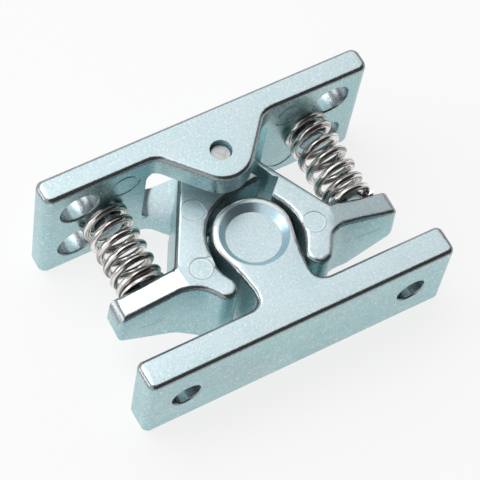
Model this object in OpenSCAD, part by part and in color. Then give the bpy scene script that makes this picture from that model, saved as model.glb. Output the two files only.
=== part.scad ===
// Double-jaw spring catch with its striker, drawn latched.
// X runs along the plate, Y = 0 is the mounting face with the striker toward -Y, Z is the pin's axis.
// The origin is the centre of the four mounting holes on the mounting face.

/* [Body plate] */
// Length of the plate
plate_l = 63.5; // [62:0.5:80]
// Height of the plate, which is also the height of the body
plate_h = 25.4; // [24:0.1:32]
// Thickness of the plate
plate_t = 4.8; // [4:0.1:6.5]
// Radius of the plate's upright corners
plate_corner_r = 1.5; // [1.2:0.1:2.2]
// Radius of the cast edges of body, jaws and striker
edge_r = 0.85; // [0.4:0.05:1]

/* [Mounting holes] */
// Distance of the holes from the plate's ends
mount_end = 6.75; // [5.75:0.05:7.5]
// Hole spacing up the plate
mount_pitch_z = 12; // [11:0.5:14]
// Diameter of the mounting holes
mount_hole_d = 7.2; // [5.5:0.1:7.4]
// Rounding of the mouths of the mounting holes
mount_rim_r = 0.4; // [0.2:0.05:0.6]

/* [Flanges and pin] */
// Thickness of each flange
flange_t = 4.8; // [4:0.1:5]
// Distance of the pin's axis from the plate's front face
pin_offset = 3.45; // [3:0.05:4.2]
// Gap between the flanges' noses and the striker's head
head_flange_gap = 0.45; // [0.3:0.05:0.8]
// Angle of the flanges' straight sides to the plate
flange_side_angle = 49; // [45:1:54]
// Radius of the fillets where the flanges leave the plate
flange_root_r = 3.2; // [2:0.1:4]
// Diameter of the pin
pin_d = 3.9; // [3:0.1:4.4]
// Gap all round the pin in the flanges
pin_gap = 0.05; // [0.03:0.01:0.1]
// Gap all round the pin in the jaws
jaw_bore_gap = 0.1; // [0.05:0.01:0.2]
// How far each end of the pin lies inside the flange
pin_recess = 1.3; // [0.3:0.1:2]
// Radius of the window behind the jaws, about the pin
window_r = 12.6; // [11.8:0.1:13.4]
// Radius of the window's upper and lower corners
window_corner_r = 2; // [1:0.1:3]

/* [Jaws] */
// Height of each jaw between the flanges
jaw_h = 12.7; // [11:0.1:13.5]
// How far the jaws stand above the striker's lower side, outside the flanges
jaw_foot_lift = 0.1; // [0:0.05:0.4]
// Gap between the jaws and the sides of the lower flange
jaw_flange_gap = 0.3; // [0.2:0.05:0.6]
// Gap between the jaws and the lower flange
jaw_float = 0.15; // [0.1:0.05:0.3]
// Gap between the two knuckles where they lap
lap_gap = 0.2; // [0.1:0.05:0.4]
// Radius of the knuckle
knuckle_r = 6.35; // [6:0.05:6.5]
// How far the knuckle's centre lies outside the pin's axis
knuckle_shift = 0.5; // [0.3:0.05:0.7]
// Gap between the pocket and the other jaw's knuckle
knuckle_gap = 0.55; // [0.4:0.05:0.7]
// Gap between the head and the round seat that the jaws make for it
head_play = 1.95; // [1.8:0.05:2.1]
// How far the seat's centre lies in front of the head's centre
seat_forward = 0.55; // [0.4:0.05:0.7]
// How far each seat's centre lies past the pin's plane
seat_cross = 0.4; // [0.3:0.05:0.5]
// Angle from the seat's centre to the nose, from the plate's direction
nose_angle = 37.3; // [36:0.1:38.5]
// Radius of the nose
nose_r = 2.2; // [2:0.05:2.4]
// Angle of the beak's front edge to the plate
beak_angle = 6; // [4:0.5:8]
// Length of the beak's front edge
beak_l = 7.8; // [7.2:0.1:8.1]
// Gap between the pocket and the end of the other jaw's beak
beak_gap = 1.5; // [1.2:0.1:1.8]
// Angle of the jaw's outer side to the plate
outer_angle = 61; // [59:0.5:62]
// Radius of the hollow between the nose and the arm
arm_hollow_r = 6.5; // [6:0.1:7]
// Distance from the pin to the arm's front edge
arm_front = 18.1; // [17.8:0.1:18.5]
// Width of the arm
arm_w = 4.8; // [4.4:0.1:5.2]
// How far the arm runs past the spring's axis
arm_past_spring = 7.2; // [6:0.1:7.5]
// Radius of the arm's upper end, seen from the front
arm_end_upper_r = 2.8; // [1.5:0.1:3]
// Radius of the arm's lower end, seen from the front
arm_end_lower_r = 4.5; // [2:0.1:4.6]
// How fast the left arm's upper face falls outward
left_arm_fall = 0.22; // [0.15:0.01:0.36]
// How fast the right arm's upper face falls outward
right_arm_fall = 0.36; // [0.15:0.01:0.38]
// How fast both arms' lower faces rise outward
arm_rise = 0.55; // [0.45:0.01:0.56]
// Where the left arm's lower face starts to rise, from the pin
left_rise_start = 13.8; // [13:0.1:14.5]
// Where the right arm's lower face starts to rise, from the pin
right_rise_start = 18.6; // [17.2:0.1:20]
// Draft of the jaws from one face to the other
jaw_draft = 0.3; // [0.1:0.05:0.4]
// How far both jaws stand turned from the middle setting
jaw_skew = 1.7; // [0:0.1:2]
// Radius of the two shallow marks on a face of each jaw
jaw_mark_r = 2; // [1.5:0.1:2.3]

/* [Springs] */
// Distance of each spring's axis from the pin's plane
spring_x = 20.4; // [20:0.1:20.7]
// Outer diameter of the springs
spring_d = 8.5; // [8:0.1:8.7]
// Wire diameter
wire_d = 1.2; // [1:0.05:1.3]
// Open turns
open_turns = 5; // [4:1:5]
// Closed turns at the plate
closed_turns_plate = 0.75; // [0.75:0.25:1.5]
// Closed turns at the arm
closed_turns_arm = 1.25; // [1:0.25:1.5]
// Gap between each spring's bore and the bosses at its ends
spring_boss_gap = 0.5; // [0.4:0.05:0.7]
// Gap between each spring's end and the arm
spring_end_gap = 0.03; // [0.03:0.01:0.1]
// Length of the bosses on the plate
plate_boss_l = 3.2; // [2:0.1:3.6]
// Length of the boss on each arm
arm_boss_l = 1.6; // [1:0.1:2]

/* [Striker] */
// Length of the striker's bar
bar_l = 60; // [56:0.2:64]
// Thickness of the bar
bar_t = 5.8; // [5:0.1:7]
// How far the striker's upper side lies below the jaws'
striker_drop = 0.05; // [0:0.05:0.6]
// Radius of the bar's upright corners
bar_corner_r = 1.3; // [1.2:0.1:2]
// Distance from the pin to the head's centre
pin_to_head = 13.4; // [13.2:0.05:13.6]
// Distance from the head's centre to the bar
head_to_bar = 12.5; // [12.3:0.1:14]
// Radius of the head
head_r = 7.15; // [7:0.05:7.3]
// Gap between each nose and the neck, with the jaws in the middle setting
neck_gap = 1.5; // [1.3:0.05:1.8]
// Radius of the hollows on both sides of the neck
neck_hollow_r = 3; // [2:0.1:3.3]
// Width of the flat ring round the dish in the head
dish_ring = 0.15; // [0.1:0.05:0.4]
// Radius of the dish's flat floor
dish_floor_r = 4.9; // [4.2:0.05:5.1]
// Depth of the dish
dish_depth = 1.3; // [0.8:0.1:1.8]
// Hole spacing along the bar
bar_pitch = 44.8; // [43:0.2:46]
// Diameter of the holes in the bar
bar_hole_d = 5.5; // [4.5:0.1:6]
// Rounding of the mouths of the holes in the bar
bar_rim_r = 0.35; // [0.2:0.05:0.5]

/* [Hidden] */
$fn = 64;

past = 1;
edge_steps = 3;
arc_step = 12;
mark_depth = 0.12;
blend_slack = 0.15;
zinc = [0.76, 0.87, 0.9];
steel = [0.72, 0.71, 0.69];

body_top = plate_h / 2;
flange_inner = body_top - flange_t;
pin_y = -plate_t - pin_offset;
pin_r = pin_d / 2;
pin_l = plate_h - 2 * pin_recess;
flange_nose_r = pin_to_head - head_r - head_flange_gap;
flange_root_x = flange_nose_r / sin(flange_side_angle) + pin_offset / tan(flange_side_angle);
plate_mark = [16.4, 7.5];
plate_mark_r = 3.1;
plate_mark_inner_r = 2.25;
plate_mark_low_r = 2.7;

jaw_low = -flange_inner + jaw_float;
jaw_top = jaw_low + jaw_h;
jaw_foot = -body_top + jaw_foot_lift;
lap_z = jaw_low + jaw_h / 2;
jaw_travel = 14.5;
seat_r = head_r + head_play;
seat_c = [seat_cross, -pin_to_head - seat_forward];
nose_c = seat_c - (seat_r + nose_r + blend_slack) * [cos(nose_angle), sin(nose_angle)];
hollow_y = -arm_front - arm_hollow_r;
hollow_span = arm_hollow_r + nose_r + blend_slack;
hollow_c = [nose_c.x - sqrt(pow(hollow_span, 2) - pow(nose_c.y - hollow_y, 2)), hollow_y];
arm_back = arm_front - arm_w;
arm_end_x = -spring_x - arm_past_spring;
arm_end_r = 1.2;
upper_turn = 18;
outer_heading = 180 + outer_angle;
knuckle_c = knuckle_shift * [cos(outer_heading - 90), sin(outer_heading - 90)];
outer_foot_s = (arm_back + (knuckle_r + knuckle_shift) * sin(outer_heading - 90)) / sin(outer_angle);
outer_foot_x = (knuckle_r + knuckle_shift) * cos(outer_heading - 90) - outer_foot_s * cos(outer_angle);
upper_crease = [hollow_c + arm_hollow_r * [sin(upper_turn), cos(upper_turn)], [outer_foot_x, -arm_back]];
knuckle_heading = 80;
beak_start = seat_c + seat_r * [-sin(beak_angle), cos(beak_angle)];
beak_tip = beak_start + beak_l * [cos(beak_angle), sin(beak_angle)];
beak_root = knuckle_c + knuckle_r * [sin(knuckle_heading), -cos(knuckle_heading)]
    - 0.5 * [cos(knuckle_heading), sin(knuckle_heading)];
pocket_r = knuckle_r + knuckle_shift + knuckle_gap;
jaw_marks = [[-7.2, -4.9], [-11, -15.6]];

spring_r = (spring_d - wire_d) / 2;
spring_boss_r = spring_d / 2 - wire_d - spring_boss_gap;
spring_shift = -arm_back * sin(jaw_skew);
left_spring_turn = 180;
right_spring_turn = 18;

neck_half = -nose_c.x - nose_r - neck_gap;
head_y = pin_y - pin_to_head;
bar_front_y = head_y - head_to_bar - bar_t;
striker_low = -body_top;
striker_h = jaw_top - striker_drop - striker_low;
striker_mid = striker_low + striker_h / 2;

function dir(a) = [cos(a), sin(a)];
function heading(a, b) = atan2(b.y - a.y, b.x - a.x);
function left_of(v) = [-v.y, v.x];
function turned(p, a) = [p.x * cos(a) - p.y * sin(a), p.x * sin(a) + p.y * cos(a)];

// Heading of the line from circle 1 to circle 2 that passes them on opposite sides
function crossing(c1, r1, c2, r2, side) = heading(c1, c2) + side * asin((r1 + r2) / norm(c2 - c1));

// Outline corners [x, y, radius] that carry an arc about c, from heading h0 to heading h1
function arc_corners(c, r, h0, h1, n) =
    let (half = (h1 - h0) / n / 2, side = h1 > h0 ? -90 : 90)
    [for (i = [0 : n - 1])
        let (p = c + r / cos(half) * dir(h0 + (2 * i + 1) * half + side))
        [p.x, p.y, r]];

// Points of one rounded corner b between a and c, moved into the solid by inset
function corner_points(a, b, c, inset) =
    let (
        u = dir(heading(a, b)),
        w = dir(heading(b, c)),
        n = left_of(u),
        m = left_of(w),
        turn = atan2(cross(u, w), u * w),
        side = turn > 0 ? 1 : -1,
        p = [b.x, b.y] + inset / (1 + n * m) * (n + m),
        r = max(b[2] - side * inset, 0.1),
        start = p - r * tan(abs(turn) / 2) * u,
        centre = start + side * r * n,
        steps = max(1, ceil(abs(turn) / arc_step))
    )
    [for (i = [0 : steps]) centre + turned(start - centre, turn * i / steps)];

// An outline that runs to the left round its solid
function outline(corners, inset) =
    let (n = len(corners))
    [for (i = [0 : n - 1])
        each corner_points(corners[(i + n - 1) % n], corners[i], corners[(i + 1) % n], inset)];

// Which points of a ring don't fall on the next one
function distinct(ring) =
    let (n = len(ring))
    [for (i = [0 : n - 1]) if (norm(ring[i] - ring[(i + 1) % n]) > 0.001) i];

function nearest(points, target) =
    let (d = [for (p = points) norm(p - target)], least = min(d))
    [for (i = [0 : len(d) - 1]) if (d[i] == least) i][0];

// Numbers from a round to b in a ring of n
function run(a, b, n) = [for (i = [0 : (b - a + n) % n]) (a + i) % n];

// Levels [height, inset] of a solid with rounded lower and upper edges
function levels(low, high, edge, draft) =
    [for (top = [false, true], i = [0 : edge_steps])
        let (
            a = 90 * (top ? edge_steps - i : i) / edge_steps,
            rise = edge * (1 - cos(a)),
            z = top ? high - rise : low + rise
        )
        [z, edge * (1 - sin(a)) + draft * ((z - low) / (high - low) - 0.5)]];

function is_left(a, b, p) = cross(b - a, p - a) > 0;

// Whether the corner at place k of the numbers in loop can be cut off the polygon
function is_ear(ring, loop, k) =
    let (n = len(loop), a = ring[loop[(k + n - 1) % n]], b = ring[loop[k]], c = ring[loop[(k + 1) % n]])
    is_left(a, b, c) && len([for (q = loop) let (p = ring[q])
        if (p != a && p != b && p != c && !is_left(b, a, p) && !is_left(c, b, p) && !is_left(a, c, p)) q]) == 0;

function first_ear(ring, loop, k = 0) = k >= len(loop) || is_ear(ring, loop, k) ? k : first_ear(ring, loop, k + 1);

// Triangles that fill the polygon of the ring's points whose numbers are in loop
function triangles(ring, loop, done = []) =
    let (n = len(loop), k = first_ear(ring, loop))
    n < 4 ? concat(done, [loop])
        : triangles(ring, [for (i = [1 : n - 1]) loop[(k + i) % n]],
            concat(done, [[loop[(k + n - 1) % n], loop[k], loop[(k + 1) % n]]]));

// How far a point lies to the left of the line between two points of a ring
function beyond(p, ring, ends) =
    len(ends) < 2 ? 0 : max(0, (p - ring[ends[0]]) * left_of(dir(heading(ring[ends[0]], ring[ends[1]]))));

// The parts of a ring's lid on both sides of its crease
function lid_parts(n, ends) =
    len(ends) < 2 ? [[for (i = [0 : n - 1]) i]] : [run(ends[0], ends[1], n), run(ends[1], ends[0], n)];

// A cast solid with rounded lower and upper edges. Where creases = [lower, upper] gives a point near each
// end of a crease, the face on the crease's left side falls away by falls = [lower, upper].
module cast_solid(corners, low, high, edge, draft = 0, creases = [[], []], falls = [0, 0]) {
    base = outline(corners, 0);
    kept = distinct(base);
    n = len(kept);
    rows = levels(low, high, edge, draft);
    last = len(rows) - 1;
    rings = [for (row = rows) let (ring = outline(corners, row[1])) [for (k = kept) ring[k]]];
    ends = [for (crease = creases) [for (p = crease) nearest([for (k = kept) base[k]], p)]];
    points = [for (row = [0 : last])
        let (upper = row > edge_steps, cap = rings[upper ? last : 0], slope = upper ? -falls[1] : falls[0])
        for (p = rings[row])
            [p.x, p.y, rows[row][0] + slope * beyond(p, cap, ends[upper ? 1 : 0])]];
    floors = [for (part = lid_parts(n, ends[0])) each triangles(rings[0], part)];
    roofs = [for (part = lid_parts(n, ends[1]), t = triangles(rings[last], part))
        [last * n + t[2], last * n + t[1], last * n + t[0]]];
    walls = [for (row = [0 : last - 1], i = [0 : n - 1])
        let (a = row * n + i, b = row * n + (i + 1) % n)
        each [[a, a + n, b + n], [a, b + n, b]]];
    polyhedron(points, concat(floors, roofs, walls), convexity = 8);
}

// A hole along -Z from a rounded mouth at z = 0
module rimmed_hole(r, depth, rim) {
    rotate_extrude() {
        translate([0, -depth]) square([r, depth + past]);
        difference() {
            translate([0, -rim]) square([r + rim, rim + past]);
            translate([r + rim, -rim]) circle(rim);
        }
    }
}

// A round boss that stands on z = 0
module boss(r, length) {
    round_r = 0.5;
    rotate_extrude() {
        translate([0, -past]) square([r, length - round_r + past]);
        square([r - round_r, length]);
        translate([r - round_r, length - round_r]) circle(round_r);
    }
}

body_corners = concat(
    [[-plate_l / 2, -plate_t, plate_corner_r], [-flange_root_x, -plate_t, flange_root_r]],
    arc_corners([0, pin_y], flange_nose_r, -flange_side_angle, flange_side_angle, 2),
    [[flange_root_x, -plate_t, flange_root_r], [plate_l / 2, -plate_t, plate_corner_r],
     [plate_l / 2, 0, plate_corner_r], [-plate_l / 2, 0, plate_corner_r]]);

// The space between the flanges, with the round window behind it
module jaw_space() {
    height = 2 * flange_inner;
    inner_r = window_r - window_corner_r;
    translate([0, pin_y, -flange_inner]) rotate_extrude() {
        square([inner_r, height]);
        translate([0, window_corner_r]) square([window_r, height - 2 * window_corner_r]);
        translate([inner_r, window_corner_r]) circle(window_corner_r);
        translate([inner_r, height - window_corner_r]) circle(window_corner_r);
    }
    translate([-plate_l, -plate_t - plate_l, -flange_inner]) cube([2 * plate_l, plate_l, height]);
}

// Shallow round marks on the plate's front face
module plate_marks() {
    for (side = [-1, 1]) translate([side * plate_mark.x, -plate_t + mark_depth, 0]) rotate([90, 0, 0]) {
        translate([0, plate_mark.y]) difference() {
            cylinder(r = plate_mark_r, h = past);
            translate([0, 0, -past]) cylinder(r = plate_mark_inner_r, h = 3 * past);
        }
        translate([0, -plate_mark.y]) cylinder(r = plate_mark_low_r, h = past);
    }
}

module body() {
    color(zinc) {
        difference() {
            cast_solid(body_corners, -body_top, body_top, edge_r);
            jaw_space();
            plate_marks();
            for (x = [-1, 1] * (plate_l / 2 - mount_end), z = [-1, 1] * mount_pitch_z / 2)
                translate([x, -plate_t, z]) rotate([90, 0, 0])
                    rimmed_hole(mount_hole_d / 2, plate_t + past, mount_rim_r);
            translate([0, pin_y, -body_top - past]) cylinder(r = pin_r + pin_gap, h = plate_h + 2 * past);
        }
        for (side = [-1, 1]) translate([side * spring_x, -plate_t, 0]) rotate([90, 0, 0])
            boss(spring_boss_r, plate_boss_l);
    }
}

module pivot_pin() {
    chamfer = 0.3;
    color(steel) translate([0, pin_y, -pin_l / 2]) rotate_extrude() polygon([
        [0, 0], [pin_r - chamfer, 0], [pin_r, chamfer],
        [pin_r, pin_l - chamfer], [pin_r - chamfer, pin_l], [0, pin_l]]);
}

hollow_out = crossing(hollow_c, arm_hollow_r, nose_c, nose_r, -1);
nose_out = crossing(nose_c, nose_r, seat_c, seat_r, 1);

// Whether the arm's lower face starts to rise nearer the pin than its upper face starts to fall
function starts_inside(start) = -start > upper_crease[0].x;

// Turn of the arm's hollow from its front edge to the lower crease
function lower_turn(start) = starts_inside(start) ? asin((-start - hollow_c.x) / arm_hollow_r) : upper_turn;

// Ends of the crease where the lower face starts to rise, at the front and at the back
function lower_crease(start) = starts_inside(start)
    ? [[-start, hollow_c.y + arm_hollow_r * cos(lower_turn(start))],
       [-start, -arm_back - (start + outer_foot_x) * tan(outer_angle)]]
    : [[-start, -arm_front], [-start, -arm_back]];

// Plan of the left jaw about the pin, whose arm's lower face starts to rise at x = -start
function jaw_corners(start) =
    let (inside = starts_inside(start), crease = lower_crease(start), turn = lower_turn(start))
    concat(
        arc_corners(hollow_c, arm_hollow_r, -turn, hollow_out, 1),
        arc_corners(nose_c, nose_r, hollow_out, nose_out, 2),
        arc_corners(seat_c, seat_r, nose_out, beak_angle, 2),
        [[beak_tip.x, beak_tip.y, 0.5], [beak_root.x, beak_root.y, 0.8]],
        arc_corners(knuckle_c, knuckle_r, knuckle_heading, outer_heading, 2),
        inside ? [[crease[1].x, crease[1].y, 1]] : [],
        [[outer_foot_x, -arm_back, 0.9]],
        inside ? [] : [[crease[1].x, crease[1].y, 1]],
        [[arm_end_x, -arm_back, arm_end_r], [arm_end_x, -arm_front, arm_end_r]],
        inside ? [] : [[crease[0].x, crease[0].y, 1]],
        arc_corners(hollow_c, arm_hollow_r, 0, -upper_turn, 1),
        inside ? arc_corners(hollow_c, arm_hollow_r, -upper_turn, -turn, 1) : []);

// Plan of the room for the other jaw's knuckle and beak
module pocket_plan() {
    side = -beak_tip.x - beak_gap;
    right = beak_tip.x + past;
    circle(pocket_r);
    polygon([[-pocket_r, 0], [-pocket_r, -1.6], [side, beak_tip.y - 0.4], [side - 0.8, beak_tip.y - 1.1],
             [side + 2.6, beak_tip.y - 4.5], [right, beak_tip.y - 4.5], [right, 0]]);
}

// What keeps the jaws clear of the lower flange through their travel
module flange_room() {
    clear_r = flange_nose_r + jaw_flange_gap;
    side = 90 - flange_side_angle;
    far = 4 * window_r;
    circle(clear_r);
    for (a = [side - jaw_skew, side + jaw_skew + jaw_travel])
        rotate(a) translate([-clear_r, -far]) square(2 * far);
}

// What an arm's round end leaves off between its upper (side = 1) or lower (side = -1) face and its end,
// seen from the front, for a face at height z at the foot of the rounding
module end_corner(r, z, slope, side) {
    lean = atan(slope);
    centre = [arm_end_x + r, z - side * r / cos(lean)];
    touch = centre + r * [-sin(lean), side * cos(lean)];
    difference() {
        polygon([touch, centre - [r, 0], centre - [r + past, 0],
                 [arm_end_x - past, touch.y + side * past], [touch.x, touch.y + side * past]]);
        translate(centre) circle(r);
    }
}

// The left jaw about the pin in the middle setting, with its eye above the lap or below it
module jaw(eye_above, fall, start) {
    upper_foot = -upper_crease[0].x + arm_end_x + arm_end_upper_r;
    lower_foot = start + arm_end_x + arm_end_lower_r;
    difference() {
        union() {
            cast_solid(jaw_corners(start), jaw_foot, jaw_top, edge_r, jaw_draft,
                [lower_crease(start), upper_crease], [arm_rise, fall]);
            translate([-spring_x, -arm_back, 0]) rotate([-90, 0, 0]) boss(spring_boss_r, arm_boss_l);
        }
        translate([0, 0, eye_above ? jaw_foot - past : lap_z - lap_gap / 2])
            linear_extrude(eye_above ? lap_z + lap_gap / 2 - jaw_foot + past : jaw_h) pocket_plan();
        translate([0, 0, jaw_foot - past]) linear_extrude(jaw_low - jaw_foot + past) flange_room();
        translate([0, 0, jaw_low - past]) cylinder(r = pin_r + jaw_bore_gap, h = jaw_h + 2 * past);
        for (p = jaw_marks) translate([p.x, p.y, jaw_top - mark_depth]) cylinder(r = jaw_mark_r, h = past);
        rotate([90, 0, 0]) linear_extrude(2 * arm_front) {
            end_corner(arm_end_upper_r, jaw_top + fall * upper_foot, fall, 1);
            end_corner(arm_end_lower_r, jaw_foot - arm_rise * lower_foot, arm_rise, -1);
        }
    }
}

module left_jaw() {
    color(zinc) translate([0, pin_y, 0]) rotate(-jaw_skew) jaw(true, left_arm_fall, left_rise_start);
}

module right_jaw() {
    color(zinc) translate([0, pin_y, 0]) rotate(-jaw_skew) mirror([1, 0, 0])
        jaw(false, right_arm_fall, right_rise_start);
}

// Length of the spring between the plate and the arm at x
function spring_room(x) = pin_offset - spring_end_gap + (arm_back + x * sin(jaw_skew)) / cos(jaw_skew);

// Centre line of a spring of the given length, from its end on the plate at z = 0
function spring_line(length, turn) =
    let (
        closed_turns = closed_turns_plate + closed_turns_arm,
        closed_pitch = wire_d + 0.05,
        open_pitch = (length - closed_turns * closed_pitch) / open_turns,
        steps = 18
    )
    [for (i = [0 : (closed_turns + open_turns) * steps])
        let (
            t = i / steps,
            open = min(max(t - closed_turns_plate, 0), open_turns),
            z = (t - open) * closed_pitch + open * open_pitch,
            x = spring_r * cos(360 * t + turn)
        )
        [x, spring_r * sin(360 * t + turn), z, z / length]];

// A round wire coiled along the line, with its far end leaning with the arm
module wire(line, lean) {
    sides = 8;
    n = len(line);
    points = [for (p = line)
        let (out = [p.x, p.y, 0] / norm([p.x, p.y]), middle = [p.x + p[3] * spring_shift, p.y, p.z + p[3] * lean * p.x])
        for (k = [0 : sides - 1])
            let (a = 360 * (k + 0.5) / sides)
            middle + wire_d / 2 * (cos(a) * out + [0, 0, sin(a)])];
    walls = [for (i = [0 : n - 2], k = [0 : sides - 1])
        let (a = i * sides + k, b = i * sides + (k + 1) % sides)
        each [[a, b, b + sides], [a, b + sides, a + sides]]];
    ends = [[for (k = [sides - 1 : -1 : 0]) k], [for (k = [0 : sides - 1]) (n - 1) * sides + k]];
    polyhedron(points, concat(ends, walls), convexity = 12);
}

// A spring with ground ends between the plate and the arm whose seat is at x
module spring(x, turn) {
    length = spring_room(x + spring_shift);
    lean = tan(jaw_skew);
    reach = spring_d;
    color(steel) translate([x, -plate_t, 0]) rotate([90, 0, 0]) intersection() {
        wire(spring_line(length, turn), lean);
        translate([spring_shift, reach, 0]) rotate([90, 0, 0]) linear_extrude(2 * reach) polygon([
            [-reach, 0], [reach, 0], [reach, length + lean * reach], [-reach, length - lean * reach]]);
    }
}

module left_spring() {
    spring(-spring_x, left_spring_turn);
}

module right_spring() {
    spring(spring_x, right_spring_turn);
}

// Plan of the striker about the head's centre
hollow_x = neck_half + neck_hollow_r;
hollow_drop = sqrt(pow(head_r + neck_hollow_r, 2) - pow(hollow_x, 2));
head_turn = 90 - atan2(hollow_drop, hollow_x);
striker_corners = concat(
    [[-bar_l / 2, -head_to_bar - bar_t, bar_corner_r], [bar_l / 2, -head_to_bar - bar_t, bar_corner_r],
     [bar_l / 2, -head_to_bar, bar_corner_r], [neck_half, -head_to_bar, neck_hollow_r]],
    arc_corners([hollow_x, -hollow_drop], neck_hollow_r, 90, head_turn, 1),
    arc_corners([0, 0], head_r, head_turn, 360 - head_turn, 4),
    arc_corners([-hollow_x, -hollow_drop], neck_hollow_r, 360 - head_turn, 270, 1),
    [[-neck_half, -head_to_bar, neck_hollow_r], [-bar_l / 2, -head_to_bar, bar_corner_r]]);

module striker() {
    dish_r = head_r - edge_r - dish_ring;
    grow = (dish_r - dish_floor_r) / dish_depth;
    color(zinc) difference() {
        translate([0, head_y, 0]) cast_solid(striker_corners, striker_low, striker_low + striker_h, edge_r);
        translate([0, head_y, striker_low + striker_h - dish_depth])
            cylinder(r1 = dish_floor_r, r2 = dish_r + grow * past, h = dish_depth + past);
        for (side = [-1, 1]) translate([side * bar_pitch / 2, bar_front_y, striker_mid]) rotate([90, 0, 0])
            rimmed_hole(bar_hole_d / 2, bar_t + past, bar_rim_r);
    }
}

body();
pivot_pin();
left_jaw();
right_jaw();
left_spring();
right_spring();
striker();
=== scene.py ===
"""Shapes, finishes and stage of a double-jaw spring catch, laid out as an add-on and run as a script."""
import math

import bmesh
import bpy
from bpy.props import FloatProperty, FloatVectorProperty, IntProperty, PointerProperty
from mathutils import Matrix, Vector


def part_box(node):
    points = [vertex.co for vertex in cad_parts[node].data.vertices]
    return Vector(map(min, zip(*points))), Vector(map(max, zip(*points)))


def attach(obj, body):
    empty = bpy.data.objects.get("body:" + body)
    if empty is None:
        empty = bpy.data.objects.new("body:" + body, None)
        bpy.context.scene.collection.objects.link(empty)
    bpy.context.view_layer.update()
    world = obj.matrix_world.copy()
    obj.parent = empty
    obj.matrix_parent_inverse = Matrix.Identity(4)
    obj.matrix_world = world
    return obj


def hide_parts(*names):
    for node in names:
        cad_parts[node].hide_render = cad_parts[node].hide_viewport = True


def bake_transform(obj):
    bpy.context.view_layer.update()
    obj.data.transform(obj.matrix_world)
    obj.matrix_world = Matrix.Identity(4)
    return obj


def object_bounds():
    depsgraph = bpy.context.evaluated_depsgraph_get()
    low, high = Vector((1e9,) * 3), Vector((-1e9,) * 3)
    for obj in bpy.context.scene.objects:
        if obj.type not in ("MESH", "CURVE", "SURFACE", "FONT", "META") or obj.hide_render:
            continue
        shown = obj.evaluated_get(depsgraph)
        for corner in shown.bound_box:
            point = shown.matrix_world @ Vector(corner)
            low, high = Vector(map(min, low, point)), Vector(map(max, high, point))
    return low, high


bl_info = {
    "name": "Spring catch finishes",
    "version": (1, 0, 0),
    "blender": (4, 5, 0),
    "location": "View3D > Sidebar > Catch",
    "description": "Shapes, finishes and lights the castings, springs and pin of a double-jaw spring catch",
    "category": "Object",
}

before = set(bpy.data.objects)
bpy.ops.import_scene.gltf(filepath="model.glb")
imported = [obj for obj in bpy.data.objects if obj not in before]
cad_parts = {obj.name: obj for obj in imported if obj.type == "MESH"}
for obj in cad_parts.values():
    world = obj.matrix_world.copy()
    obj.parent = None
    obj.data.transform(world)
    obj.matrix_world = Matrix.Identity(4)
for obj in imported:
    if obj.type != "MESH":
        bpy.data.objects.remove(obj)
CAD_LOW, CAD_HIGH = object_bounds()

# places on the castings, seen from above, in metres
HEAD_CENTRE = Vector((0.0, -0.02165))
LEFT_SEAT = Vector((-0.000014, -0.022206))
RIGHT_SEAT = Vector((-0.000814, -0.022182))
LEFT_NOSE = Vector((-0.009324, -0.028871))
RIGHT_NOSE = Vector((0.008084, -0.029388))
JAW_MARKS = {
    "left_jaw": ((-0.00734, -0.01293), (-0.01146, -0.02352)),
    "right_jaw": ((0.01053, -0.02417),)}
# where each scratch on an arm's front starts and ends, as X and Z
ARM_SCRATCHES = {
    "left_jaw": (((-0.02394, -0.0028), (-0.01917, -0.00376)), ((-0.02100, -0.0026), (-0.01890, -0.0030))),
    "right_jaw": (((0.01840, -0.0031), (0.02400, -0.0036)), ((0.01640, -0.0024), (0.01780, -0.00245)),
                  ((0.01640, -0.0032), (0.01640, -0.0024)), ((0.01640, -0.0032), (0.01780, -0.00325)))}

# a face whose normal rises above this counts as flat; the arms' tops slope, so theirs is lower
FLAT_TOP = 0.985
SLOPED_TOPS = {"left_jaw": 0.965, "right_jaw": 0.92}

# share of the head's growth left out, with the middle and width of the place in degrees from the side
NOSE_ROOM = (0.9, -15.0, 24.0)
FLANK_ROOM = (0.2, 30.0, 18.0)
FLANGE_ROOM = (0.65, 90.0, 32.0)
# distances from the head's centre toward the bar, in metres
HEAD_END, NECK_START = 0.0028, 0.0054
NECK_FADE, NECK_END, BAR_START = 0.0095, 0.0125, 0.0126
ROOT_AT, ROOT_WIDTH = 0.0053, 0.0015
# the neck's half width, and how far outside the dish the growth reaches its full size
NECK_HALF, RIM_EASE = 0.0045, 0.00012
# distances from the seats' centres and from the noses' middles, in metres
SEAT_R, LEFT_SEAT_FADE, RIGHT_SEAT_FADE = 0.01013, 0.0103, 0.0106
LEFT_NOSE_R, LEFT_NOSE_FADE = 0.0026, 0.0066
RIGHT_NOSE_R, RIGHT_NOSE_FADE = 0.0024, 0.0062

# points of a skin that lie closer than this are joined, and edges from this many degrees stay sharp
JOIN_DISTANCE = 0.000002
SHARP_ANGLE = 40.0
# where the arms fold down from the jaws, on both sides of the pin
FOLD_X = (0.0137, 0.0184)
FOLD_Y = (-0.0265, -0.0185)
# air between the closed turns of a spring
CLOSED_AIR = 0.00005

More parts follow.
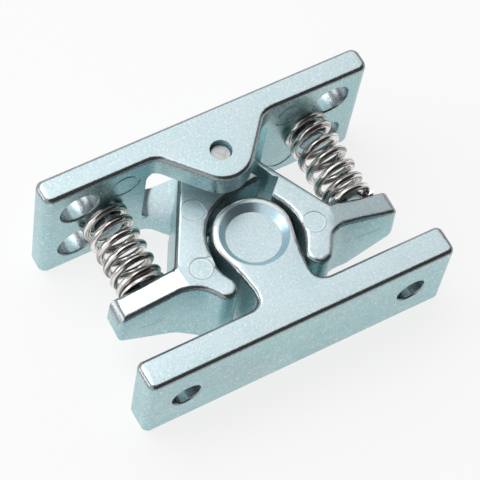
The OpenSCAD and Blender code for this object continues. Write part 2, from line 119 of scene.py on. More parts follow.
# tints of the finishes
DULL_CLOUD = (0.86, 0.96, 0.95, 1.0)
PALE_SPECK = (0.98, 1.0, 1.0, 1.0)
DARK_SPECK = (0.72, 0.82, 0.86, 1.0)
PINK_FILM = (1.0, 0.88, 0.88, 1.0)
GREEN_FILM = (0.86, 1.0, 0.90, 1.0)
BLUE_WALL = (0.45, 0.74, 0.90, 1.0)
# near-white band on the striker head's rounded rim
PALE_RIM = (1.0, 1.0, 0.99, 1.0)
MARK_SHADE = (0.34, 0.42, 0.44, 1.0)
WHITE = (1.0, 1.0, 1.0, 1.0)
SCRATCH = (0.10, 0.16, 0.18, 1.0)
# painted highlight and painted dark reflection of the springs' wire
WIRE_PAINTED_HIGHLIGHT = (0.86, 0.83, 0.80, 1.0)
WIRE_PAINTED_DARK_REFLECTION = (0.09, 0.08, 0.07, 1.0)
DULL_WIRE = (0.27, 0.24, 0.21, 1.0)
PIN_STAIN = (0.50, 0.44, 0.38, 1.0)
FLOOR_WHITE = (0.96, 0.96, 0.96, 1.0)

# distances from the head's centre to the dish's wall and to the pale rim band, and where the pale skin ends
DISH_WALL, DISH_RIM = 0.00565, 0.00675
PALE_DISH = (0.0060, 0.0063)
# places along Y, from the head's centre, between which the pale rim band fades out toward the neck
RIM_FADE = (-0.0052, -0.0028)
# each pair is the distance at which a band or line ends and the one up to which it is full
DISH_BAND = (0.0006, 0.0003)
MARK_BAND = (0.00016, 0.00006)
SCRATCH_BAND = (0.00014, 0.00004)
# length over which a scratch fades out at each end
SCRATCH_END = 0.0004
# radius, strength and tint of the painted shade rim and the painted highlight rim of a round mark
MARK_SHADE_AND_HIGHLIGHT_RIMS = ((0.00208, 0.75, MARK_SHADE), (0.00185, 0.5, WHITE))

# the floor's half width, its distance under the part and the share of plain white seen in it
FLOOR_HALF = 4.0
FLOOR_GAP = 0.00002
FLOOR_SEEN = 0.80
# how far the soft boxes stand from the point that they face
BOX_DISTANCE = 0.6
BOX_AIM = Vector((0.0, -0.02, 0.0))
SENSOR_WIDTH = 36.0


class FinishSettings(bpy.types.PropertyGroup):
    """Colours and textures of the castings, the springs and the pin."""

    zinc: FloatVectorProperty(
        name="Zinc", description="Blue-passivated zinc of the castings", subtype="COLOR", size=3,
        min=0.0, max=1.0, default=(0.64, 0.775, 0.815))
    # painted shade: a darker, deeper teal that upright faces take in place of the zinc colour
    upright_painted_shade: FloatVectorProperty(
        name="Zinc shade", description="Painted shade on upright faces, a darker and deeper teal", subtype="COLOR",
        size=3, min=0.0, max=1.0, default=(0.41, 0.655, 0.685))
    # painted dark reflection that the castings' upper rounded edges take
    edge_dark_reflection: FloatVectorProperty(
        name="Zinc edge", description="Painted dark reflection on the castings' upper edges", subtype="COLOR", size=3,
        min=0.0, max=1.0, default=(0.27, 0.29, 0.30))
    steel: FloatVectorProperty(
        name="Spring steel", description="Bright drawn wire of the springs", subtype="COLOR", size=3,
        min=0.0, max=1.0, default=(0.38, 0.355, 0.335))
    pin: FloatVectorProperty(
        name="Pin steel", description="End of the pin", subtype="COLOR", size=3, min=0.0, max=1.0,
        default=(0.66, 0.70, 0.71))
    roughness: FloatProperty(
        name="Roughness", description="Roughness of the castings", min=0.05, max=1.0, default=0.33,
        subtype="FACTOR")
    edge_roughness: FloatProperty(
        name="Edge roughness", description="Roughness of the castings' tumbled edges", min=0.05, max=1.0,
        default=0.17, subtype="FACTOR")
    grain: FloatProperty(
        name="Grain", description="Depth of the castings' skin", min=0.0, max=0.0005, default=0.00004,
        unit="LENGTH", precision=6)


class ShapeSettings(bpy.types.PropertyGroup):
    """How the striker's head and neck and the jaws' seats and noses differ from their solids."""

    dish_r: FloatProperty(
        name="Dish rim", description="Radius of the head's dish, which stays as it is", min=0.004, max=0.007,
        default=0.00617, unit="LENGTH", precision=5)
    head_swell: FloatProperty(
        name="Head", description="How much the head's radius grows", min=0.0, max=0.001, default=0.00055,
        unit="LENGTH", precision=5)
    neck_swell: FloatProperty(
        name="Neck", description="How much each side of the neck grows", min=0.0, max=0.001, default=0.0005,
        unit="LENGTH", precision=5)
    root_swell: FloatProperty(
        name="Neck root", description="How much more the neck grows where it leaves the head", min=0.0,
        max=0.001, default=0.00055, unit="LENGTH", precision=5)
    seat_close: FloatProperty(
        name="Left seat", description="How much closer the left jaw's seat comes to the head", min=0.0,
        max=0.0012, default=0.00088, unit="LENGTH", precision=5)
    right_seat: FloatProperty(
        name="Right seat", description="How much closer the right jaw's seat comes to the head", min=0.0,
        max=0.0008, default=0.00012, unit="LENGTH", precision=5)
    left_nose: FloatProperty(
        name="Left nose", description="How far the left nose moves toward the pin", min=0.0, max=0.0006,
        default=0.00033, unit="LENGTH", precision=5)
    right_nose: FloatProperty(
        name="Right nose", description="How much the right nose grows on its outer side", min=0.0, max=0.0012,
        default=0.0008, unit="LENGTH", precision=5)


class WireSettings(bpy.types.PropertyGroup):
    """Sizes of the springs' wire."""

    wire_d: FloatProperty(
        name="Wire", description="Wire diameter", min=0.0005, max=0.003, default=0.0014, unit="LENGTH",
        precision=5)
    outer_d: FloatProperty(
        name="Outer diameter", description="Outer diameter of the springs", min=0.004, max=0.012,
        default=0.0090, unit="LENGTH", precision=5)
    spring_x: FloatProperty(
        name="Spring offset", description="Distance of each spring's axis from the pin's plane", min=0.01,
        max=0.03, default=0.0204, unit="LENGTH", precision=5)
    left_length: FloatProperty(
        name="Left length", description="Length of the left spring at rest", min=0.01, max=0.02,
        default=0.016109, unit="LENGTH", precision=6)
    right_length: FloatProperty(
        name="Right length", description="Length of the right spring at rest", min=0.01, max=0.02,
        default=0.01732, unit="LENGTH", precision=6)
    lean: FloatProperty(
        name="Lean", description="Slope of the arms' backs against the plate", min=0.0, max=0.1,
        default=0.02968)
    shift: FloatProperty(
        name="Shift", description="Sideways step of the spring's end on the arm", min=-0.001, max=0.001,
        default=-0.0003946, unit="LENGTH", precision=6)
    open_turns: FloatProperty(
        name="Open turns", description="Turns that stand apart", min=3.0, max=8.0, default=5.0)
    plate_turns: FloatProperty(
        name="Turns on the plate", description="Closed turns at the plate", min=0.5, max=2.0, default=0.75)
    arm_turns: FloatProperty(
        name="Turns on the arm", description="Closed turns at the arm", min=0.5, max=2.0, default=1.25)
    left_start: FloatProperty(
        name="Left start", description="Where the left wire starts", subtype="ANGLE",
        default=math.radians(180.0))
    right_start: FloatProperty(
        name="Right start", description="Where the right wire starts", subtype="ANGLE",
        default=math.radians(18.0))
    sides: IntProperty(
        name="Sides", description="Sides of the wire's cross-section", min=6, max=32, default=16)
    steps: IntProperty(
        name="Steps", description="Rings of the wire for each turn", min=12, max=96, default=48)


class StageSettings(bpy.types.PropertyGroup):
    """Camera and light."""

    target: FloatVectorProperty(
        name="Target", description="Point that the camera looks at", subtype="XYZ", unit="LENGTH", size=3,
        default=(-0.0010986, -0.0195598, 0.0), precision=6)
    azimuth: FloatProperty(
        name="Azimuth", description="Camera's turn about Z from the front", subtype="ANGLE",
        default=math.radians(-40.307))
    elevation: FloatProperty(
        name="Elevation", description="Camera's height above the horizon", subtype="ANGLE",
        default=math.radians(61.0875))
    roll: FloatProperty(
        name="Roll", description="Camera's turn about its own axis", subtype="ANGLE",
        default=math.radians(12.4945))
    distance: FloatProperty(
        name="Distance", description="Distance of the camera from the target", unit="LENGTH", min=0.1,
        default=0.414787)
    lens: FloatProperty(
        name="Lens", description="Focal length in millimetres on a 36 mm sensor", unit="CAMERA", min=20.0,
        max=400.0, default=179.417)
    key: FloatProperty(
        name="Key light", description="Radiance of the upper soft box", min=0.0, default=3.2)
    fill: FloatProperty(
        name="Left light", description="Radiance of the left soft box", min=0.0, default=2.4)
    sky: FloatProperty(
        name="Sky", description="Strength of the even light all round", min=0.0, default=0.99)
    dark_way: FloatVectorProperty(
        name="Dark side", description="Direction of the room's dark side", subtype="XYZ", size=3,
        default=(0.31, -0.70, 0.64))
    dim_way: FloatVectorProperty(
        name="Dim side", description="Direction of the room's dim side", subtype="XYZ", size=3,
        default=(0.88, 0.30, 0.36))


class Tree:
    """The node tree of a material or of the world, with short calls for the nodes used here."""

    def __init__(self, owner, output="ShaderNodeOutputMaterial"):
        owner.use_nodes = True
        self.owner = owner
        self.tree = owner.node_tree
        self.tree.nodes.clear()
        self.out = self.node(output)

    def node(self, kind, **values):
        """A node with its plain attributes set."""
        made = self.tree.nodes.new(kind)
        for key, value in values.items():
            setattr(made, key, value)
        return made

    def join(self, source, target):
        """Links an output socket, or sets a plain value, on an input socket."""
        if isinstance(source, bpy.types.NodeSocket):
            self.tree.links.new(source, target)
        else:
            target.default_value = source

    def maths(self, operation, a, b=0.0):
        """One sum, product, difference or comparison."""
        made = self.node("ShaderNodeMath", operation=operation)
        self.join(a, made.inputs[0])
        self.join(b, made.inputs[1])
        return made.outputs[0]

    def times(self, a, b):
        """The product of two values."""
        return self.maths("MULTIPLY", a, b)

    def apart(self, value, middle):
        """How far a value is from the middle, whichever side it lies on."""
        return self.maths("ABSOLUTE", self.maths("SUBTRACT", value, middle))

    def vector(self, operation, a, b, output="Vector"):
        """A sum, difference or product of two vectors, or with the output Value one number from them."""
        made = self.node("ShaderNodeVectorMath", operation=operation)
        self.join(a, made.inputs[0])
        self.join(b, made.inputs[1])
        return made.outputs[output]

    def part(self, vector, axis):
        """One coordinate of a vector."""
        made = self.node("ShaderNodeSeparateXYZ")
        self.join(vector, made.inputs[0])
        return made.outputs[axis]

    def span(self, value, low, high, to_low=0.0, to_high=1.0, smooth=True):
        """Maps low..high to to_low..to_high, held at both ends."""
        made = self.node("ShaderNodeMapRange", clamp=True,
                         interpolation_type="SMOOTHSTEP" if smooth else "LINEAR")
        for place, item in enumerate((value, low, high, to_low, to_high)):
            self.join(item, made.inputs[place])
        return made.outputs[0]

    def noise(self, coordinates, scale, detail=3.0, roughness=0.6, distortion=0.0):
        """Noise between 0 and 1, with so many features to the metre."""
        made = self.node("ShaderNodeTexNoise")
        self.join(coordinates, made.inputs["Vector"])
        for key, value in (("Scale", scale), ("Detail", detail), ("Roughness", roughness),
                           ("Distortion", distortion)):
            made.inputs[key].default_value = value
        return made.outputs["Fac"]

    def blend(self, factor, a, b, kind="MIX"):
        """Mixes two colours."""
        made = self.node("ShaderNodeMix", data_type="RGBA", blend_type=kind)
        self.join(factor, made.inputs[0])
        self.join(a, made.inputs[6])
        self.join(b, made.inputs[7])
        return made.outputs[2]

    def stretched(self, coordinates, scale):
        """The coordinates multiplied axis by axis."""
        made = self.node("ShaderNodeMapping")
        self.join(coordinates, made.inputs["Vector"])
        made.inputs["Scale"].default_value = scale
        return made.outputs["Vector"]

    def bump(self, height, depth, strength, normal=None):
        """A bump of the given depth in metres."""
        made = self.node("ShaderNodeBump")
        made.inputs["Strength"].default_value = strength
        made.inputs["Distance"].default_value = depth
        self.join(height, made.inputs["Height"])
        if normal is not None:
            self.join(normal, made.inputs["Normal"])
        return made.outputs["Normal"]

    def surface(self, colour, roughness, metallic, normal):
        """The principled shader that ends the tree."""
        shader = self.node("ShaderNodeBsdfPrincipled")
        self.join(colour, shader.inputs["Base Color"])
        self.join(roughness, shader.inputs["Roughness"])
        shader.inputs["Metallic"].default_value = metallic
        self.join(normal, shader.inputs["Normal"])
        self.join(shader.outputs[0], self.out.inputs["Surface"])
        return self.owner


def rgba(colour):
    """A colour property as four numbers."""
    return (*colour, 1.0)


def zinc_skin(t, upright, cloud, speck, film, settings):
    """The colour of the passivated skin, with painted shade on upright faces."""
    # painted shade: upright faces take a darker, deeper teal copy of the zinc colour
    colour = t.blend(upright, rgba(settings.zinc), rgba(settings.upright_painted_shade))
    # the skin is a little greener and duller in clouds
    colour = t.blend(t.span(cloud, 0.45, 0.66, to_high=0.45), colour, DULL_CLOUD, "MULTIPLY")
    # light and dark specks of the casting's skin
    colour = t.blend(t.span(speck, 0.54, 0.72, to_high=0.65), colour, PALE_SPECK)
    colour = t.blend(t.span(speck, 0.47, 0.32, to_high=0.5), colour, DARK_SPECK, "MULTIPLY")
    # faint pink and green of the film on upright faces
    pink = t.times(t.span(film, 0.50, 0.64, to_high=0.5), upright)
    green = t.times(t.span(film, 0.48, 0.34, to_high=0.35), upright)
    colour = t.blend(pink, colour, PINK_FILM, "MULTIPLY")
    return t.blend(green, colour, GREEN_FILM, "MULTIPLY")


def dish_colour(t, colour, own, up, from_dish, dish):
    """The dish's bluer wall, and a near-white band on the rounded rim round it, except toward the neck."""
    wall = t.span(t.apart(from_dish, DISH_WALL), *DISH_BAND, to_high=0.45)
    colour = t.blend(t.times(wall, t.span(up, 0.99, 0.95)), colour, BLUE_WALL)
    rim = t.span(t.apart(from_dish, DISH_RIM), *DISH_BAND, to_high=0.65)
    rim = t.times(rim, t.span(t.part(own, "Y"), dish.y + RIM_FADE[0], dish.y + RIM_FADE[1]))
    return t.blend(t.times(rim, t.span(up, 0.70, 0.88)), colour, PALE_RIM)


def painted_mark_rims(t, colour, flat, cloud, marks):
    """Painted shade and painted highlight: a dark and a bright rim round each of the round marks."""
    for x, y in marks:
        away = t.vector("DISTANCE", flat, (x, y, 0.0), "Value")
        for radius, strength, tint in MARK_SHADE_AND_HIGHLIGHT_RIMS:
            # a painted shade line at the mark's edge and a painted highlight line inside it
            rim = t.span(t.apart(away, radius), *MARK_BAND, to_high=strength)
            colour = t.blend(t.times(rim, t.span(cloud, 0.35, 0.55, to_low=0.5)), colour, tint)
    return colour


def scratch_lines(t, colour, own, upright, speck, scratches):
    """Fine scratches on the arms' fronts, each a dark line."""
    for (x, z), (end_x, end_z) in scratches:
        run = Vector((end_x - x, 0.0, end_z - z))
        across = Vector((-run.z, 0.0, run.x)).normalized()
        half = run.length / 2
        from_start = t.vector("SUBTRACT", own, (x, 0.0, z))
        along = t.vector("DOT_PRODUCT", from_start, run.normalized(), "Value")
        off = t.maths("ABSOLUTE", t.vector("DOT_PRODUCT", from_start, across, "Value"))
        inside = t.span(t.apart(along, half), half, half - SCRATCH_END)
        line = t.times(t.span(off, *SCRATCH_BAND), t.times(inside, upright))
        colour = t.blend(t.times(line, t.span(speck, 0.40, 0.55, to_low=0.4)), colour, SCRATCH)
    return colour


def casting_finish(name, seed, settings):
    """Blue-passivated zinc: a pale satin skin, painted shade on upright faces, and smooth upper edges with a
    painted dark reflection.
    """
    t = Tree(bpy.data.materials.new("zinc " + name.replace("_", " ")))
    place = t.node("ShaderNodeTexCoord")
    own = place.outputs["Object"]
    at = t.vector("ADD", own, (0.013 * seed, 0.007 * seed, -0.011 * seed))
    flat = t.vector("MULTIPLY", own, (1.0, 1.0, 0.0))
    up = t.part(place.outputs["Normal"], "Z")
    upright = t.span(t.maths("ABSOLUTE", up), 0.40, 0.06)

    cloud = t.noise(at, scale=130.0, detail=4.0)
    speck = t.noise(at, scale=2300.0, detail=2.0)
    fine = t.noise(at, scale=5200.0, detail=2.0)
    film = t.noise(at, scale=70.0, roughness=0.5, distortion=0.8)
    colour = zinc_skin(t, upright, cloud, speck, film, settings)

    # upper rounded edges are smoother and take a painted dark reflection, greyer, with a ragged border and
    # pale grains in it
    flattest = SLOPED_TOPS.get(name, FLAT_TOP)
    tilt = t.maths("SUBTRACT", 1.0, up)
    ragged = t.maths("ADD", up, t.times(tilt, t.span(fine, 0.3, 0.7, -0.45, 0.45, smooth=False)))
    edge = t.times(t.span(ragged, 0.10, 0.26), t.span(ragged, flattest, flattest - 0.04))
    if name == "striker":
        # the painted dark edge reflection stays faint over the dish in the head, which keeps its pale skin
        from_dish = t.vector("DISTANCE", flat, (*HEAD_CENTRE, 0.0), "Value")
        edge = t.times(edge, t.span(from_dish, *PALE_DISH, to_low=0.12))
    # painted dark reflection on the upper rounded edges
    colour = t.blend(edge, colour, rgba(settings.edge_dark_reflection))
    colour = t.blend(t.times(edge, t.span(fine, 0.54, 0.66, to_high=0.5)), colour, rgba(settings.zinc))
    if name == "striker":
        colour = dish_colour(t, colour, own, up, from_dish, HEAD_CENTRE)
    colour = painted_mark_rims(t, colour, flat, cloud, JAW_MARKS.get(name, ()))
    colour = scratch_lines(t, colour, own, upright, speck, ARM_SCRATCHES.get(name, ()))

    rough = t.span(cloud, 0.3, 0.7, settings.roughness - 0.04, settings.roughness + 0.06, smooth=False)
    rough = t.maths("ADD", t.times(rough, t.maths("SUBTRACT", 1.0, edge)),
                    t.times(edge, settings.edge_roughness))
    skin = t.bump(t.noise(at, scale=1300.0), settings.grain, strength=0.6)
    skin = t.bump(fine, settings.grain * 0.6, strength=0.6, normal=skin)
    return t.surface(colour, rough, metallic=0.86, normal=skin)


def wire_finish(settings):
    """Bright drawn wire with painted highlights and painted dark reflections in streaks along it, and a few
    dull patches.
    """
    t = Tree(bpy.data.materials.new("spring wire"))
    place = t.node("ShaderNodeTexCoord")
    along = t.node("ShaderNodeUVMap", uv_map="wire")
    streaks = t.noise(t.stretched(along.outputs["UV"], (0.9, 2.2, 1.0)), scale=3.0)
    patch = t.noise(place.outputs["Object"], scale=420.0)
    # painted highlight and painted dark reflection: bright and near-black streaks along and round the wire
    colour = t.blend(t.span(streaks, 0.45, 0.57), rgba(settings.steel), WIRE_PAINTED_HIGHLIGHT)
    colour = t.blend(t.span(streaks, 0.43, 0.35, to_high=0.9), colour, WIRE_PAINTED_DARK_REFLECTION)
    colour = t.blend(t.span(patch, 0.55, 0.75, to_high=0.5), colour, DULL_WIRE)
    roughness = t.span(patch, 0.35, 0.75, 0.06, 0.16, smooth=False)
    return t.surface(colour, roughness, metallic=1.0, normal=t.bump(streaks, 0.00001, strength=0.6))


def pin_finish(settings):
    """Pale end of the pin, turned and a little stained."""
    t = Tree(bpy.data.materials.new("pin steel"))
    place = t.node("ShaderNodeTexCoord")
    stain = t.noise(place.outputs["Object"], scale=900.0, detail=4.0)
    colour = t.blend(t.span(stain, 0.42, 0.7, to_high=0.6), rgba(settings.pin), PIN_STAIN)
    rings = t.node("ShaderNodeTexWave", wave_type="RINGS", rings_direction="Z")
    t.join(place.outputs["Object"], rings.inputs["Vector"])
    rings.inputs["Scale"].default_value = 900.0
    turned = t.bump(rings.outputs["Fac"], 0.000004, strength=0.4)
    return t.surface(colour, 0.40, metallic=0.75, normal=turned)


def ease(value, low, high):
    """Goes smoothly from 0 at low to 1 at high."""
    t = min(max((value - low) / (high - low), 0.0), 1.0)
    return t * t * (3.0 - 2.0 * t)


def hill(value, middle, width):
    """A smooth hill of height 1 round the middle."""
    return math.exp(-((value - middle) / width) ** 2)


def wide_striker(point, shape):
    """The head's ring and the neck at their full width, with room left for the noses and the flanges."""
    off = Vector((point.x, point.y)) - HEAD_CENTRE
    down = -off.y
    if off.length < shape.dish_r or down > BAR_START:
        return point
    way = math.degrees(math.atan2(off.y, abs(off.x)))
    front = ease(down, HEAD_END, NECK_START)
    outside = ease(off.length, shape.dish_r, shape.dish_r + RIM_EASE)
    kept = 1.0
    for share, middle, width in (NOSE_ROOM, FLANK_ROOM, FLANGE_ROOM):
        kept -= share * hill(way, middle, width)
    grow = off.normalized() * shape.head_swell * kept * (1.0 - front)
    neck = shape.neck_swell + shape.root_swell * hill(down, ROOT_AT, ROOT_WIDTH)
    neck *= front * ease(down, NECK_END, NECK_FADE)
    neck *= math.copysign(min(abs(off.x) / NECK_HALF, 1.0), off.x)
    return point + Vector((grow.x + neck, grow.y, 0.0)) * outside


def close_left(point, shape):
    """The left jaw's seat close to the head, and its nose a little nearer to the pin."""
    flat = Vector((point.x, point.y))
    off = flat - LEFT_SEAT
    turn = math.degrees(math.atan2(off.y, off.x)) % 360.0
    near_nose = 1.0 - ease((flat - LEFT_NOSE).length, LEFT_NOSE_R, LEFT_NOSE_FADE)
    on_seat = 1.0 - ease(off.length, SEAT_R, LEFT_SEAT_FADE)
    # most on the seat's left, and nothing at the beak and at the nose
    sweep = math.cos(math.radians(0.95 * (turn - 175.0))) * ease(turn, 88.0, 108.0) * ease(turn, 262.0, 235.0)
    inward = -off.normalized() * shape.seat_close * on_seat * max(sweep, 0.0) * (1.0 - near_nose)
    return point + Vector((inward.x, inward.y + near_nose * shape.left_nose, 0.0))


def fill_right(point, shape):
    """The right jaw's nose at its full width on the outer side, and its seat close to the head."""
    flat = Vector((point.x, point.y))
    from_seat = flat - RIGHT_SEAT
    turn = math.degrees(math.atan2(from_seat.y, from_seat.x))
    on_seat = 1.0 - ease(from_seat.length, SEAT_R, RIGHT_SEAT_FADE)
    inward = -from_seat.normalized() * shape.right_seat * on_seat * hill(turn, 18.0, 26.0)
    off = flat - RIGHT_NOSE
    near_nose = 1.0 - ease(off.length, RIGHT_NOSE_R, RIGHT_NOSE_FADE)
    way = off.normalized()
    # all of it on the outer side, a third at the tip and nothing on the inner side
    side = max(way.x, 0.0)
    tip = 0.35 * max(-way.y, 0.0) * max(1.0 - 2.0 * abs(way.x), 0.0)
    outward = way * shape.right_nose * (side + tip) * near_nose
    return point + Vector((outward.x + inward.x, outward.y + inward.y, 0.0))


def at_fold(edge):
    """Whether an edge lies where an arm folds down from its jaw."""
    return all(FOLD_X[0] < abs(v.co.x) < FOLD_X[1] and FOLD_Y[0] < v.co.y < FOLD_Y[1] for v in edge.verts)


def smooth(piece):
    """Rounded edges look round, flats stay flat and the arms' folds stay crisp."""
    shaped = bmesh.new()
    shaped.from_mesh(piece.data)
    for face in shaped.faces:
        face.smooth = True
    for edge in shaped.edges:
        turn = math.degrees(edge.calc_face_angle(0.0))
        level = min((abs(face.normal.z) for face in edge.link_faces), default=0.0)
        fold = at_fold(edge) and (turn > 7.0 and level > 0.935 or turn > 25.0 and level > 0.85)
        edge.smooth = turn < SHARP_ANGLE and not fold
    shaped.to_mesh(piece.data)
    shaped.free()
    evener = piece.modifiers.new("even shading", "WEIGHTED_NORMAL")
    evener.keep_sharp = True
    evener.weight = 80


def place_piece(name, mesh, node):
    """Makes a smooth piece of a mesh, which stands for a node."""
    piece = bpy.data.objects.new(name, mesh)
    bpy.context.scene.collection.objects.link(piece)
    smooth(piece)
    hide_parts(node)
    return piece


def casting(name, body, move=None):
    """A piece that stands for a casting's solid, with the points of its skin joined up and moved in plan."""
    made = bmesh.new()
    made.from_mesh(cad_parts[name].data)
    bmesh.ops.remove_doubles(made, verts=made.verts, dist=JOIN_DISTANCE)
    if move:
        for vertex in made.verts:
            vertex.co = move(vertex.co)
    mesh = bpy.data.meshes.new(name + "_casting")
    mesh.from_pydata([v.co for v in made.verts], [], [[v.index for v in f.verts] for f in made.faces])
    made.free()
    piece = place_piece(name + "_casting", mesh, name)
    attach(piece, body)
    return piece


def coil(name, side, length, start, settings):
    """Round wire wound between the plate and an arm, ground flat at both ends."""
    plate_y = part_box(name)[1][1]
    axis_x = side * settings.spring_x
    pitch = settings.wire_d + CLOSED_AIR
    open_pitch = (length - (settings.plate_turns + settings.arm_turns) * pitch) / settings.open_turns
    mean_r = (settings.outer_d - settings.wire_d) / 2
    count = round((settings.plate_turns + settings.open_turns + settings.arm_turns) * settings.steps)
    made = bmesh.new()
    layer = made.loops.layers.uv.new("wire")
    rings = []
    for i in range(count + 1):
        turns = i / settings.steps
        opened = min(max(turns - settings.plate_turns, 0.0), settings.open_turns)
        along = (turns - opened) * pitch + opened * open_pitch
        share = along / length
        angle = 2.0 * math.pi * turns + start
        out = Vector((math.cos(angle), 0.0, math.sin(angle)))
        middle = Vector((axis_x + share * settings.shift, plate_y - along, 0.0))
        middle += out * mean_r
        middle.y -= share * settings.lean * out.x * mean_r
        ring = []
        for k in range(settings.sides):
            a = 2.0 * math.pi * k / settings.sides
            point = middle + (out * math.cos(a) + Vector((0.0, math.sin(a), 0.0))) * (settings.wire_d / 2)
            arm_y = plate_y - length - settings.lean * (point.x - axis_x)
            point.y = min(max(point.y, arm_y), plate_y)
            ring.append(made.verts.new(point))
        rings.append(ring)
    for i in range(count):
        for k in range(settings.sides):
            after = (k + 1) % settings.sides
            face = made.faces.new((rings[i][k], rings[i + 1][k], rings[i + 1][after], rings[i][after]))
            for loop, (u, v) in zip(face.loops, ((i, k), (i + 1, k), (i + 1, k + 1), (i, k + 1))):
                loop[layer].uv = (u / settings.steps, v / settings.sides)
    made.faces.new(rings[0])
    made.faces.new(rings[-1])
    bmesh.ops.recalc_face_normals(made, faces=made.faces)
    mesh = bpy.data.meshes.new(name + "_wire")
    made.to_mesh(mesh)
    made.free()
    wire = place_piece(name + "_wire", mesh, name)
    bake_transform(wire)
    return wire


class CATCH_OT_castings(bpy.types.Operator):
    """Gives the body, the jaws and the striker their shape and finish"""

    bl_idname = "catch.castings"
    bl_label = "Shape and finish the castings"

    def execute(self, context):
        shape = context.scene.catch_shape
        pieces = {
            "body": casting("body", "catch_body"),
            "left_jaw": casting("left_jaw", "left_jaw", lambda point: close_left(point, shape)),
            "right_jaw": casting("right_jaw", "right_jaw", lambda point: fill_right(point, shape)),
            "striker": casting("striker", "striker", lambda point: wide_striker(point, shape))}
        for seed, (name, piece) in enumerate(pieces.items(), start=1):
            piece.data.materials.append(casting_finish(name, seed, context.scene.catch_finish))
        return {"FINISHED"}


class CATCH_OT_pin(bpy.types.Operator):
    """Gives the pin its finish"""

    bl_idname = "catch.pin"
    bl_label = "Finish the pin"

    def execute(self, context):
        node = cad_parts["pivot_pin"]
        node.data.materials.clear()
        node.data.materials.append(pin_finish(context.scene.catch_finish))
        return {"FINISHED"}


class CATCH_OT_springs(bpy.types.Operator):
    """Winds the springs"""

    bl_idname = "catch.springs"
    bl_label = "Wind the springs"

    def execute(self, context):
        wire = context.scene.catch_wire
        finish = wire_finish(context.scene.catch_finish)
        left = coil("left_spring", -1, wire.left_length, wire.left_start, wire)
        right = coil("right_spring", 1, wire.right_length, wire.right_start, wire)
        for spring in (left, right):
            spring.data.materials.append(finish)
        return {"FINISHED"}


def soft_box(name, direction, size, radiance):
    """A soft box that faces the part."""
    data = bpy.data.lights.new(name, "AREA")
    data.shape = "RECTANGLE"
    data.size, data.size_y = size
    data.energy = radiance * math.pi * size[0] * size[1]
    lamp = bpy.data.objects.new(name, data)
    bpy.context.scene.collection.objects.link(lamp)
    way = Vector(direction).normalized()
    lamp.location = way * BOX_DISTANCE + BOX_AIM
    lamp.rotation_mode = "QUATERNION"
    lamp.rotation_quaternion = way.to_track_quat("Z", "Y")


def floor_finish():
    """White floor that keeps a soft shadow."""
    t = Tree(bpy.data.materials.new("floor"))
    rays = t.node("ShaderNodeLightPath").outputs
    seen = t.maths("MAXIMUM", rays["Is Camera Ray"],
                   t.maths("MAXIMUM", rays["Is Glossy Ray"], rays["Is Transmission Ray"]))
    plain = t.node("ShaderNodeBsdfDiffuse")
    plain.inputs["Color"].default_value = FLOOR_WHITE
    white = t.node("ShaderNodeEmission")
    white.inputs["Color"].default_value = WHITE
    both = t.node("ShaderNodeMixShader")
    t.join(t.times(seen, FLOOR_SEEN), both.inputs[0])
    t.join(plain.outputs[0], both.inputs[1])
    t.join(white.outputs[0], both.inputs[2])
    t.join(both.outputs[0], t.out.inputs["Surface"])
    return t.owner


def room_light(settings):
    """Even light from a room with a dark and a dim side, which the camera sees as white."""
    t = Tree(bpy.data.worlds.new("even light"), "ShaderNodeOutputWorld")
    rays = t.node("ShaderNodeLightPath").outputs
    direction = t.node("ShaderNodeTexCoord").outputs["Generated"]
    level = settings.sky
    # each side's direction, where it starts and is full, as a cosine, and the light that is left there
    sides = ((settings.dark_way, 0.57, 0.75, 0.04), (settings.dim_way, 0.80, 0.95, 0.55))
    for way, start, full, left in sides:
        toward = t.vector("DOT_PRODUCT", direction, Vector(way).normalized(), "Value")
        level = t.times(t.span(toward, start, full, 1.0, left), level)
    seen = t.maths("MAXIMUM", rays["Is Camera Ray"], rays["Is Transmission Ray"])
    back = t.node("ShaderNodeBackground")
    back.inputs["Color"].default_value = WHITE
    t.join(t.maths("MAXIMUM", seen, level), back.inputs["Strength"])
    t.join(back.outputs[0], t.out.inputs["Surface"])
    return t.owner


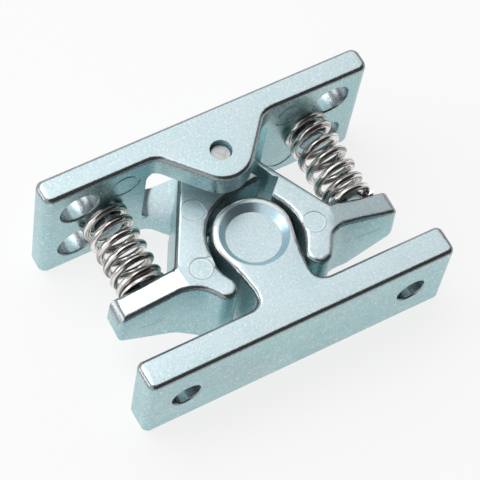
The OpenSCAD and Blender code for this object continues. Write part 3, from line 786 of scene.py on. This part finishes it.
class CATCH_OT_stage(bpy.types.Operator):
    """Makes the floor, the light and the camera"""

    bl_idname = "catch.stage"
    bl_label = "Make the stage"

    def execute(self, context):
        settings = context.scene.catch_stage
        self.floor()
        context.scene.world = room_light(settings)
        soft_box("upper soft box", (-0.22, 0.40, 0.89), (0.27, 0.27), settings.key)
        soft_box("left soft box", (-0.88, 0.36, 0.31), (0.32, 0.24), settings.fill)
        self.camera(settings)
        context.scene.view_settings.view_transform = "Standard"
        return {"FINISHED"}

    def floor(self):
        """A plain pale floor under the part."""
        mesh = bpy.data.meshes.new("floor")
        low, high, level = -FLOOR_HALF, FLOOR_HALF, CAD_LOW.z - FLOOR_GAP
        corners = [(low, low, level), (high, low, level), (high, high, level), (low, high, level)]
        mesh.from_pydata(corners, [], [(0, 1, 2, 3)])
        mesh.materials.append(floor_finish())
        floor = bpy.data.objects.new("floor", mesh)
        bpy.context.scene.collection.objects.link(floor)

    def camera(self, settings):
        """The camera at the photograph's angle."""
        data = bpy.data.cameras.new("camera")
        data.lens, data.sensor_width = settings.lens, SENSOR_WIDTH
        data.clip_start, data.clip_end = 0.01, 20.0
        camera = bpy.data.objects.new("camera", data)
        bpy.context.scene.collection.objects.link(camera)
        a, e = settings.azimuth, settings.elevation
        back = Vector((math.sin(a) * math.cos(e), -math.cos(a) * math.cos(e), math.sin(e)))
        turn = back.to_track_quat("Z", "Y").to_matrix() @ Matrix.Rotation(settings.roll, 3, "Z")
        camera.rotation_mode = "QUATERNION"
        camera.rotation_quaternion = turn.to_quaternion()
        camera.location = Vector(settings.target) + back * settings.distance
        bpy.context.scene.camera = camera


class CATCH_PT_panel(bpy.types.Panel):
    """Lists the steps and their settings"""

    bl_label = "Spring catch"
    bl_idname = "CATCH_PT_panel"
    bl_space_type = "VIEW_3D"
    bl_region_type = "UI"
    bl_category = "Catch"

    def draw(self, context):
        layout = self.layout
        for step in STEPS:
            layout.operator(step.bl_idname)
        for group in GROUPS:
            settings = getattr(context.scene, group)
            box = layout.box()
            for key in settings.__annotations__:
                box.prop(settings, key)


STEPS = (CATCH_OT_stage, CATCH_OT_castings, CATCH_OT_pin, CATCH_OT_springs)
GROUPS = {"catch_finish": FinishSettings, "catch_shape": ShapeSettings, "catch_wire": WireSettings,
          "catch_stage": StageSettings}
CLASSES = (*GROUPS.values(), *STEPS, CATCH_PT_panel)


def register():
    for cls in CLASSES:
        bpy.utils.register_class(cls)
    for name, group in GROUPS.items():
        setattr(bpy.types.Scene, name, PointerProperty(type=group))


def unregister():
    for name in GROUPS:
        delattr(bpy.types.Scene, name)
    for cls in reversed(CLASSES):
        bpy.utils.unregister_class(cls)


def main():
    register()
    bpy.ops.catch.stage()
    bpy.ops.catch.castings()
    bpy.ops.catch.pin()
    bpy.ops.catch.springs()


if __name__ == "__main__":
    main()
